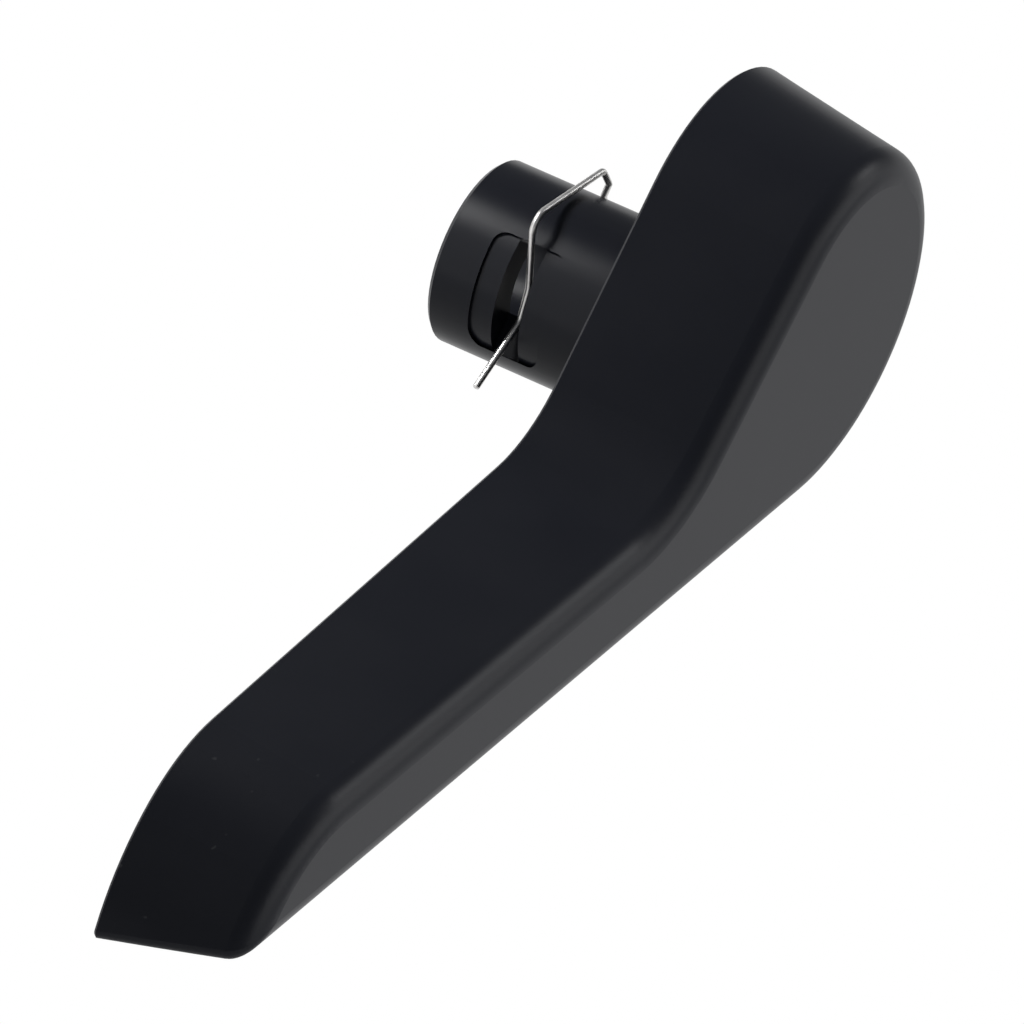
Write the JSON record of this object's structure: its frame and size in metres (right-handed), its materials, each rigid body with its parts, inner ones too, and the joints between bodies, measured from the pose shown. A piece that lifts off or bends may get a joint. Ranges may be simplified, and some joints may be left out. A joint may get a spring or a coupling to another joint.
{
  "type": "seat recliner lever",
  "caption": "Pull lever for a reclining seat: round head, tapered handle with an open ribbed back, and a splined hub whose windows hold a hairpin spring clip.",
  "frame": {"origin": "on the pivot axis, at the mouth of the hub's bore", "axes": "+Y out of the bore toward the seat, -Y is the outer face; +Z square to the straight lower edge; the handle's tip toward -X and its round head toward +X"},
  "size_m": [0.1622, 0.0496, 0.0539],
  "materials": {
    "moulding": "black satin moulded plastic with a very fine grain",
    "spring_wire": "bright drawn spring wire"
  },
  "bodies": {
    "root": {"lever": "moulding", "retaining_clip": "spring_wire"}
  },
  "joints": []
}
